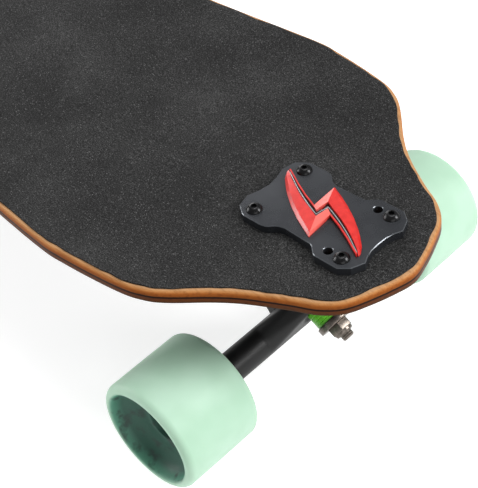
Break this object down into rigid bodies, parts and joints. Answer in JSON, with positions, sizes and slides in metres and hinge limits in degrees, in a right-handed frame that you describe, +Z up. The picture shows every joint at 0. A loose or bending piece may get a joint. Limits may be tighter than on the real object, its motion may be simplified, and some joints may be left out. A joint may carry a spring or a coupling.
{
  "type": "electric skateboard",
  "caption": "Electric longboard: curved plywood deck with grip tape, reverse kingpin trucks, urethane wheels, rear hub motors, cases underneath.",
  "frame": {"origin": "on the ground, under the middle of the deck", "axes": "+X along the board towards the nose, +Y to the rider's left, +Z up"},
  "size_m": [0.968, 0.259, 0.1409],
  "materials": {
    "maple_ply": "lacquered",
    "grip_tape": "gritty",
    "plate_black": "satin",
    "emblem_red": "glossy",
    "black_steel": "black oxide",
    "zinc_steel": "plated",
    "riser_rubber": "matte",
    "truck_black": "satin powder coat",
    "pivot_urethane": "satin",
    "bushing_green": "satin",
    "wheel_urethane": "satin",
    "core_plastic": "matte",
    "bearing_steel": "polished",
    "motor_can": "anodised",
    "motor_cover": "satin",
    "laminations": "matte",
    "copper_wire": "enamelled",
    "cable_black": "matte",
    "case_plastic": "moulded texture",
    "cell_wrap": "glossy",
    "circuit_board": "glossy",
    "heat_sink_aluminium": "machined",
    "gasket_foam": "matte",
    "gland_nylon": "satin",
    "button_plastic": "glossy",
    "cap_rubber": "matte",
    "lens_plastic": "frosted"
  },
  "bodies": {
    "board": {"deck": "maple_ply", "grip_tape": "grip_tape", "front_top_plate": "plate_black", "rear_top_plate": "plate_black", "front_emblem": "emblem_red", "rear_emblem": "emblem_red", "mount_bolts": "black_steel", "mount_nuts": "zinc_steel", "riser_pads": "riser_rubber", "front_baseplate": "truck_black", "rear_baseplate": "truck_black", "pivot_cups": "pivot_urethane", "kingpins": "zinc_steel", "kingpin_nuts": "zinc_steel", "cup_washers": "zinc_steel", "front_board_bushing": "bushing_green", "front_road_bushing": "bushing_green", "rear_board_bushing": "bushing_green", "rear_road_bushing": "bushing_green", "left_motor_cable": "cable_black", "right_motor_cable": "cable_black", "battery_case": "case_plastic", "battery_cells": "cell_wrap", "battery_board": "circuit_board", "controller_case": "case_plastic", "controller_board": "circuit_board", "heat_sink": "heat_sink_aluminium", "case_gaskets": "gasket_foam", "case_screws": "black_steel", "link_cable": "cable_black", "cable_glands": "gland_nylon", "button_bezel": "zinc_steel", "charge_port": "gland_nylon", "status_lens": "lens_plastic"},
    "front_truck": {"front_hanger": "truck_black", "front_axle": "zinc_steel", "front_axle_nuts": "black_steel", "front_axle_spacers": "bearing_steel"},
    "rear_truck": {"rear_hanger": "truck_black", "rear_axle": "zinc_steel", "rear_axle_nuts": "zinc_steel", "rear_axle_spacers": "bearing_steel", "motor_stators": "laminations", "motor_windings": "copper_wire"},
    "front_left_wheel": {"front_left_tyre": "wheel_urethane", "front_left_core": "core_plastic", "front_left_bearings": "bearing_steel"},
    "front_right_wheel": {"front_right_tyre": "wheel_urethane", "front_right_core": "core_plastic", "front_right_bearings": "bearing_steel"},
    "rear_left_wheel": {"rear_left_tyre": "wheel_urethane", "rear_left_rotor": "motor_can", "rear_left_cover": "motor_cover", "rear_left_bearings": "bearing_steel"},
    "rear_right_wheel": {"rear_right_tyre": "wheel_urethane", "rear_right_rotor": "motor_can", "rear_right_cover": "motor_cover", "rear_right_bearings": "bearing_steel"},
    "power_switch": {"power_button": "button_plastic"},
    "port_cap": {"charge_cap": "cap_rubber"}
  },
  "joints": [
    {"name": "front_steer", "type": "hinge", "parent": "board", "child": "front_truck", "pos_m": [0.4085, 0, 0.05], "axis": [0.6428, 0, 0.766], "range_deg": [-15, 15], "stiffness_Nm_per_rad": 60, "deforming": ["front_board_bushing", "front_road_bushing"]},
    {"name": "rear_steer", "type": "hinge", "parent": "board", "child": "rear_truck", "pos_m": [-0.4085, 0, 0.05], "axis": [-0.6428, 0, 0.766], "range_deg": [-15, 15], "stiffness_Nm_per_rad": 60, "deforming": ["rear_board_bushing", "rear_road_bushing", "left_motor_cable", "right_motor_cable"]},
    {"name": "front_left_spin", "type": "hinge", "parent": "front_truck", "child": "front_left_wheel", "pos_m": [0.398, 0.102, 0.0355], "axis": [0, 1, 0], "continuous": true},
    {"name": "front_right_spin", "type": "hinge", "parent": "front_truck", "child": "front_right_wheel", "pos_m": [0.398, -0.102, 0.0355], "axis": [0, 1, 0], "continuous": true},
    {"name": "rear_left_spin", "type": "hinge", "parent": "rear_truck", "child": "rear_left_wheel", "pos_m": [-0.398, 0.102, 0.0355], "axis": [0, 1, 0], "continuous": true},
    {"name": "rear_right_spin", "type": "hinge", "parent": "rear_truck", "child": "rear_right_wheel", "pos_m": [-0.398, -0.102, 0.0355], "axis": [0, 1, 0], "continuous": true},
    {"name": "power_press", "type": "slide", "parent": "board", "child": "power_switch", "axis": [0, 1, 0], "range_m": [0, 0.0012], "stiffness_N_per_m": 500},
    {"name": "port_cap_hinge", "type": "hinge", "parent": "board", "child": "port_cap", "pos_m": [-0.1735, -0.0725, 0.09767], "axis": [0, 0, 1], "range_deg": [0, 110]}
  ]
}
